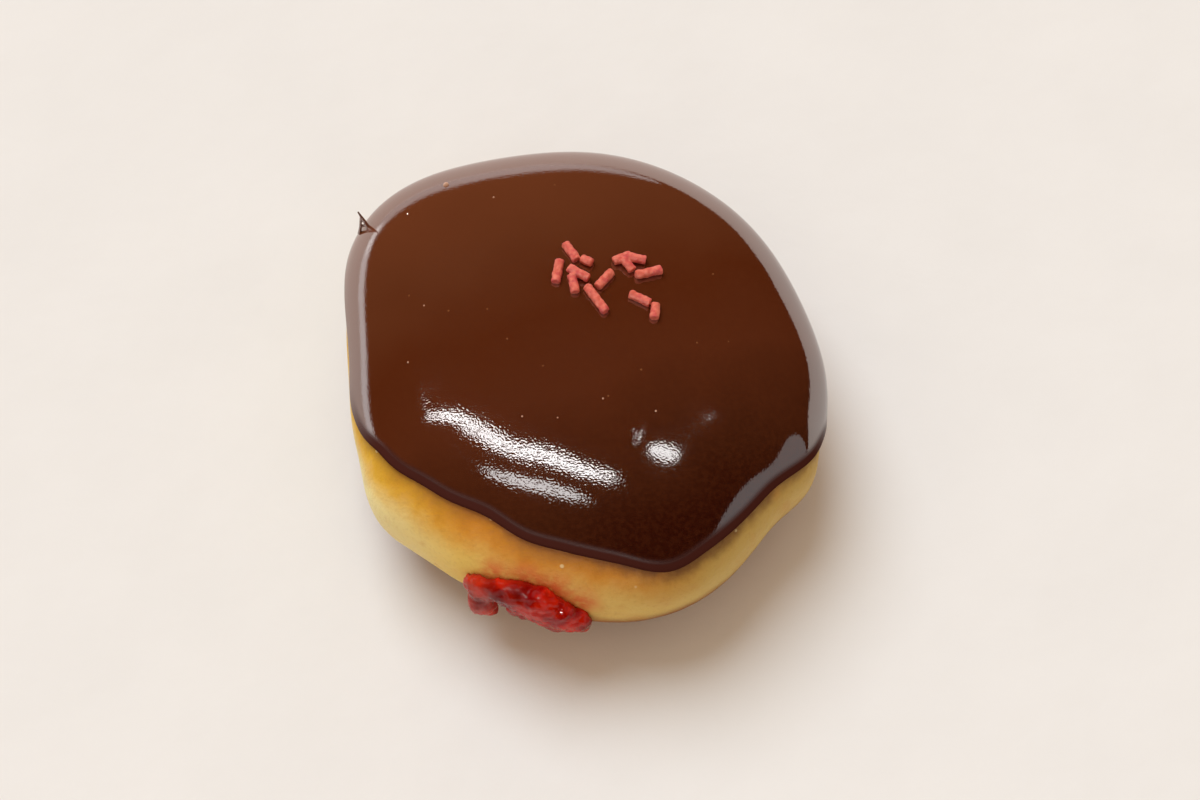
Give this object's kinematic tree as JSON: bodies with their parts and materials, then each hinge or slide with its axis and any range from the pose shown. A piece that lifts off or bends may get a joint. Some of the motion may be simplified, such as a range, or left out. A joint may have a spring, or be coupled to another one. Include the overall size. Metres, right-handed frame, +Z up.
{
  "type": "filled doughnut",
  "caption": "Filled raspberry doughnut: a round cushion of fried dough with chocolate icing over its dome, a pinch of sprinkles, and raspberry filling leaking from its side.",
  "frame": {"origin": "middle of the object's box at the height of the surface it rests on", "axes": "+Z up from the flat base; the leak of filling faces -Y; +X is to the right of a viewer who faces the leak"},
  "size_m": [0.0934, 0.1007, 0.0402],
  "materials": {
    "dough": "fried yeast dough, golden above and below with a pale ring round the waist, matt and finely wrinkled",
    "icing": "set chocolate icing, glossy with a faint grain; the fused sprinkles are salmon pink and satin",
    "jam": "wet raspberry filling, glossy and slightly clear"
  },
  "bodies": {
    "root": {"dough": "dough", "icing": "icing", "jam": "jam"}
  },
  "joints": []
}
